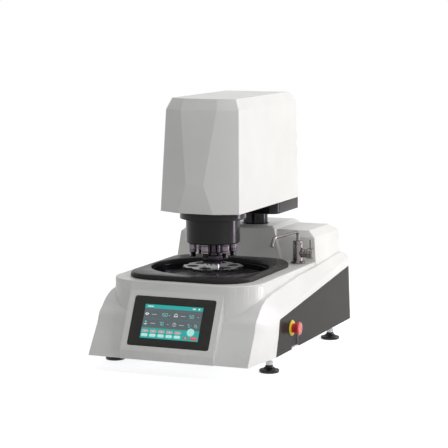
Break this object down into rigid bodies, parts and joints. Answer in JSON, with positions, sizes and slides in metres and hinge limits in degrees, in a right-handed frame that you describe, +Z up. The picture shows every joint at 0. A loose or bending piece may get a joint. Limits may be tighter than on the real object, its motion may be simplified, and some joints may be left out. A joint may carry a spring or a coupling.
{
  "type": "metallographic grinder-polisher",
  "caption": "Bench grinder-polisher with a sunken water bowl, rotating platen, touch-screen console, swing-out powered head with spring pushers, swivel tap and stop button.",
  "frame": {"origin": "centre of the machine's bounding box, on the bench surface under its feet", "axes": "+X to the machine's right seen from the front, +Y from the console to the rear panel, +Z up"},
  "size_m": [0.4904, 0.749, 0.662],
  "materials": {
    "white_paint": "smooth satin",
    "side_gloss": "gloss anthracite",
    "black_gloss": "gloss black",
    "bezel_black": "gloss black",
    "screen": "lit display",
    "stainless": "polished",
    "chrome": "chrome plated",
    "aluminium": "machined",
    "disc_grey": "coated",
    "dark_steel": "satin black",
    "zinc": "zinc plated",
    "cast": "painted",
    "rubber": "matt",
    "belt_rubber": "matt",
    "matte_black": "moulded",
    "red": "gloss red",
    "yellow": "gloss yellow",
    "green": "moulded",
    "brass": "turned",
    "panel_grey": "powder coat"
  },
  "bodies": {
    "base": {"base_frame": "zinc", "body_cover": "white_paint", "side_panel_left": "side_gloss", "side_panel_right": "side_gloss", "deck": "white_paint", "console_frame": "white_paint", "display_bezel": "bezel_black", "touch_screen": "screen", "bowl_surround": "black_gloss", "bowl": "black_gloss", "drain_pipe": "matte_black", "bearing_housing": "cast", "platen_bearings": "chrome", "platen_motor": "dark_steel", "drive_belt": "belt_rubber", "rear_housing": "white_paint", "rear_box_left": "white_paint", "rear_box_right": "white_paint", "rear_panel": "panel_grey", "cover_screws": "zinc", "column_guide": "cast", "lift_cylinder": "aluminium", "power_inlet": "matte_black", "water_inlet": "brass", "controller": "panel_grey", "estop_ring": "yellow", "estop_block": "green", "tap_body": "stainless"},
    "turntable": {"platen": "aluminium", "magnetic_disc": "disc_grey", "platen_spindle": "stainless", "driven_pulley": "aluminium"},
    "motor_rotor": {"motor_pulley": "aluminium"},
    "foot_1": {"foot_1": "rubber"},
    "foot_2": {"foot_2": "rubber"},
    "foot_3": {"foot_3": "rubber"},
    "foot_4": {"foot_4": "rubber"},
    "lift_column": {"column": "dark_steel"},
    "head": {"head_cover": "white_paint", "arm_plate": "black_gloss", "head_frame": "panel_grey", "bearing_flange": "dark_steel", "head_bearings": "chrome", "head_motor": "dark_steel", "air_manifold": "aluminium"},
    "mover": {"pusher_drum": "dark_steel", "head_spindle": "dark_steel", "specimen_holder": "aluminium", "holder_screws": "zinc"},
    "sleeve": {"coupling_sleeve": "dark_steel"},
    "spout": {"tap_spout": "stainless"},
    "lever": {"tap_lever": "stainless"},
    "stop_stem": {"estop_stem": "zinc"},
    "stop_button": {"estop_button": "red"},
    "pusher_1": {"pusher_1": "chrome"},
    "pusher_2": {"pusher_2": "chrome"},
    "pusher_3": {"pusher_3": "chrome"},
    "pusher_4": {"pusher_4": "chrome"},
    "pusher_5": {"pusher_5": "chrome"},
    "pusher_6": {"pusher_6": "chrome"}
  },
  "joints": [
    {"name": "platen_spin", "type": "hinge", "parent": "base", "child": "turntable", "pos_m": [-0.0112, -0.0955, 0.2], "axis": [0, 0, 1], "continuous": true},
    {"name": "motor_spin", "type": "hinge", "parent": "base", "child": "motor_rotor", "pos_m": [-0.0112, 0.1145, 0.1], "axis": [0, 0, 1], "continuous": true},
    {"name": "head_lift", "type": "slide", "parent": "base", "child": "lift_column", "axis": [0, 0, 1], "range_m": [0, 0.06]},
    {"name": "head_swing", "type": "hinge", "parent": "lift_column", "child": "head", "pos_m": [-0.0112, 0.2215, 0.38], "axis": [0, 0, 1], "range_deg": [-12, 8]},
    {"name": "mover_spin", "type": "hinge", "parent": "head", "child": "mover", "pos_m": [-0.0112, -0.0785, 0.32], "axis": [0, 0, 1], "continuous": true},
    {"name": "sleeve_lift", "type": "slide", "parent": "mover", "child": "sleeve", "axis": [0, 0, 1], "range_m": [0, 0.006], "stiffness_N_per_m": 600, "springref_m": -0.01},
    {"name": "pusher_1_press", "type": "slide", "parent": "mover", "child": "pusher_1", "axis": [0, 0, -1], "range_m": [0, 0.018], "stiffness_N_per_m": 250, "springref_m": -0.02},
    {"name": "pusher_2_press", "type": "slide", "parent": "mover", "child": "pusher_2", "axis": [0, 0, -1], "range_m": [0, 0.018], "stiffness_N_per_m": 250, "springref_m": -0.02},
    {"name": "pusher_3_press", "type": "slide", "parent": "mover", "child": "pusher_3", "axis": [0, 0, -1], "range_m": [0, 0.018], "stiffness_N_per_m": 250, "springref_m": -0.02},
    {"name": "pusher_4_press", "type": "slide", "parent": "mover", "child": "pusher_4", "axis": [0, 0, -1], "range_m": [0, 0.018], "stiffness_N_per_m": 250, "springref_m": -0.02},
    {"name": "pusher_5_press", "type": "slide", "parent": "mover", "child": "pusher_5", "axis": [0, 0, -1], "range_m": [0, 0.018], "stiffness_N_per_m": 250, "springref_m": -0.02},
    {"name": "pusher_6_press", "type": "slide", "parent": "mover", "child": "pusher_6", "axis": [0, 0, -1], "range_m": [0, 0.018], "stiffness_N_per_m": 250, "springref_m": -0.02},
    {"name": "tap_swivel", "type": "hinge", "parent": "base", "child": "spout", "pos_m": [0.1504, 0.1122, 0.28], "axis": [0, 0, 1], "range_deg": [-48, 45]},
    {"name": "tap_open", "type": "hinge", "parent": "base", "child": "lever", "pos_m": [0.1856, 0.1122, 0.248], "axis": [1, 0, 0], "range_deg": [0, 90]},
    {"name": "stop_press", "type": "slide", "parent": "base", "child": "stop_stem", "axis": [-1, 0, 0], "range_m": [0, 0.0045], "stiffness_N_per_m": 500, "springref_m": -0.01},
    {"name": "stop_twist", "type": "hinge", "parent": "stop_stem", "child": "stop_button", "pos_m": [0.2338, -0.1115, 0.092], "axis": [1, 0, 0], "range_deg": [0, 45], "stiffness_Nm_per_rad": 0.05},
    {"name": "foot_1_turn", "type": "hinge", "parent": "base", "child": "foot_1", "pos_m": [-0.2202, -0.2215, 0.02], "axis": [0, 0, 1], "continuous": true},
    {"name": "foot_2_turn", "type": "hinge", "parent": "base", "child": "foot_2", "pos_m": [0.1978, -0.2215, 0.02], "axis": [0, 0, 1], "continuous": true},
    {"name": "foot_3_turn", "type": "hinge", "parent": "base", "child": "foot_3", "pos_m": [0.1978, 0.239, 0.02], "axis": [0, 0, 1], "continuous": true},
    {"name": "foot_4_turn", "type": "hinge", "parent": "base", "child": "foot_4", "pos_m": [-0.2202, 0.239, 0.02], "axis": [0, 0, 1], "continuous": true}
  ],
  "couplings": [
    {"joint": "motor_spin", "follows": "platen_spin", "ratio": 2}
  ]
}
